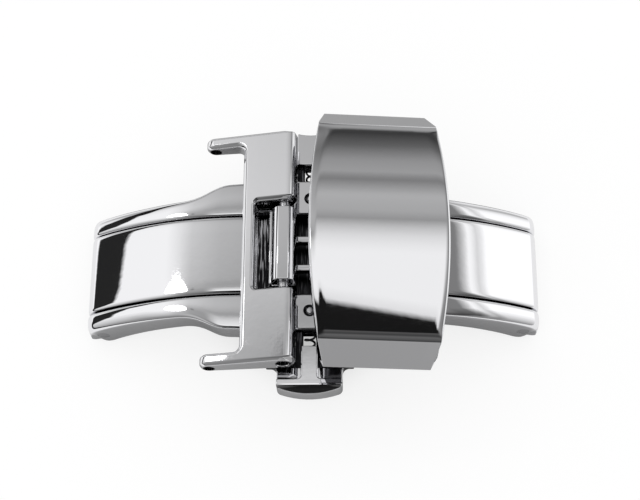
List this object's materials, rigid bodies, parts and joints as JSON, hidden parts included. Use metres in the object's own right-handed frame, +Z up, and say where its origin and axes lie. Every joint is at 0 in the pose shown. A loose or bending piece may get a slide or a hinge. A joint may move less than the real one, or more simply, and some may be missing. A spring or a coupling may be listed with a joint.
{
  "type": "deployant clasp",
  "caption": "Butterfly deployant clasp for a leather watch strap: arched base, folding wings, lugged strap link, arched cover with tang bar, two push buttons.",
  "frame": {"origin": "on the surface that the clasp stands on, midway between the end pins and midway between the near and far ends", "axes": "+X along the strap from the strap link to the cover, +Y across the strap towards the far button, which is the plain one, +Z up from the wrist side"},
  "size_m": [0.0372, 0.023, 0.0125],
  "materials": {
    "polished_steel": "mirror polished stainless steel",
    "turned_steel": "turned and ground stainless steel",
    "spring_steel": "drawn spring wire"
  },
  "bodies": {
    "base": {"base_frame": "polished_steel", "left_end_pin": "turned_steel", "right_end_pin": "turned_steel", "near_guide_plate": "polished_steel", "far_guide_plate": "polished_steel", "guide_rivets": "turned_steel", "near_button_spring": "spring_steel", "far_button_spring": "spring_steel"},
    "left_wing": {"left_wing": "polished_steel", "link_pin": "turned_steel"},
    "right_wing": {"right_wing": "polished_steel", "cover_pin": "turned_steel"},
    "strap_link": {"strap_link": "polished_steel"},
    "cover": {"cover": "polished_steel", "strap_bar_tube": "turned_steel", "strap_bar_tips": "turned_steel", "strap_bar_spring": "spring_steel"},
    "tang": {"tang": "polished_steel"},
    "near_button": {"near_button": "polished_steel"},
    "far_button": {"far_button": "polished_steel"}
  },
  "joints": [
    {"name": "left_wing_hinge", "type": "hinge", "parent": "base", "child": "left_wing", "pos_m": [-0.0173, 0.0005, 0.00135], "axis": [0, -1, 0], "range_deg": [0, 160]},
    {"name": "right_wing_hinge", "type": "hinge", "parent": "base", "child": "right_wing", "pos_m": [0.0173, 0.0005, 0.00135], "axis": [0, 1, 0], "range_deg": [0, 160]},
    {"name": "strap_link_pivot", "type": "hinge", "parent": "left_wing", "child": "strap_link", "pos_m": [-0.00205, 0.0005, 0.00767], "axis": [0, 1, 0], "range_deg": [0, 60]},
    {"name": "cover_pivot", "type": "hinge", "parent": "right_wing", "child": "cover", "pos_m": [0.00205, 0.0005, 0.00767], "axis": [0, -1, 0], "range_deg": [0, 30]},
    {"name": "tang_pivot", "type": "hinge", "parent": "cover", "child": "tang", "pos_m": [0.0083, 0.0005, 0.00727], "axis": [0, 1, 0], "range_deg": [0, 50]},
    {"name": "near_button_slide", "type": "slide", "parent": "base", "child": "near_button", "axis": [0, 1, 0], "range_m": [0, 0.0008], "stiffness_N_per_m": 600, "springref_m": -0.001, "deforming": ["near_button_spring"]},
    {"name": "far_button_slide", "type": "slide", "parent": "base", "child": "far_button", "axis": [0, -1, 0], "range_m": [0, 0.0008], "stiffness_N_per_m": 600, "springref_m": -0.001, "deforming": ["far_button_spring"]}
  ]
}
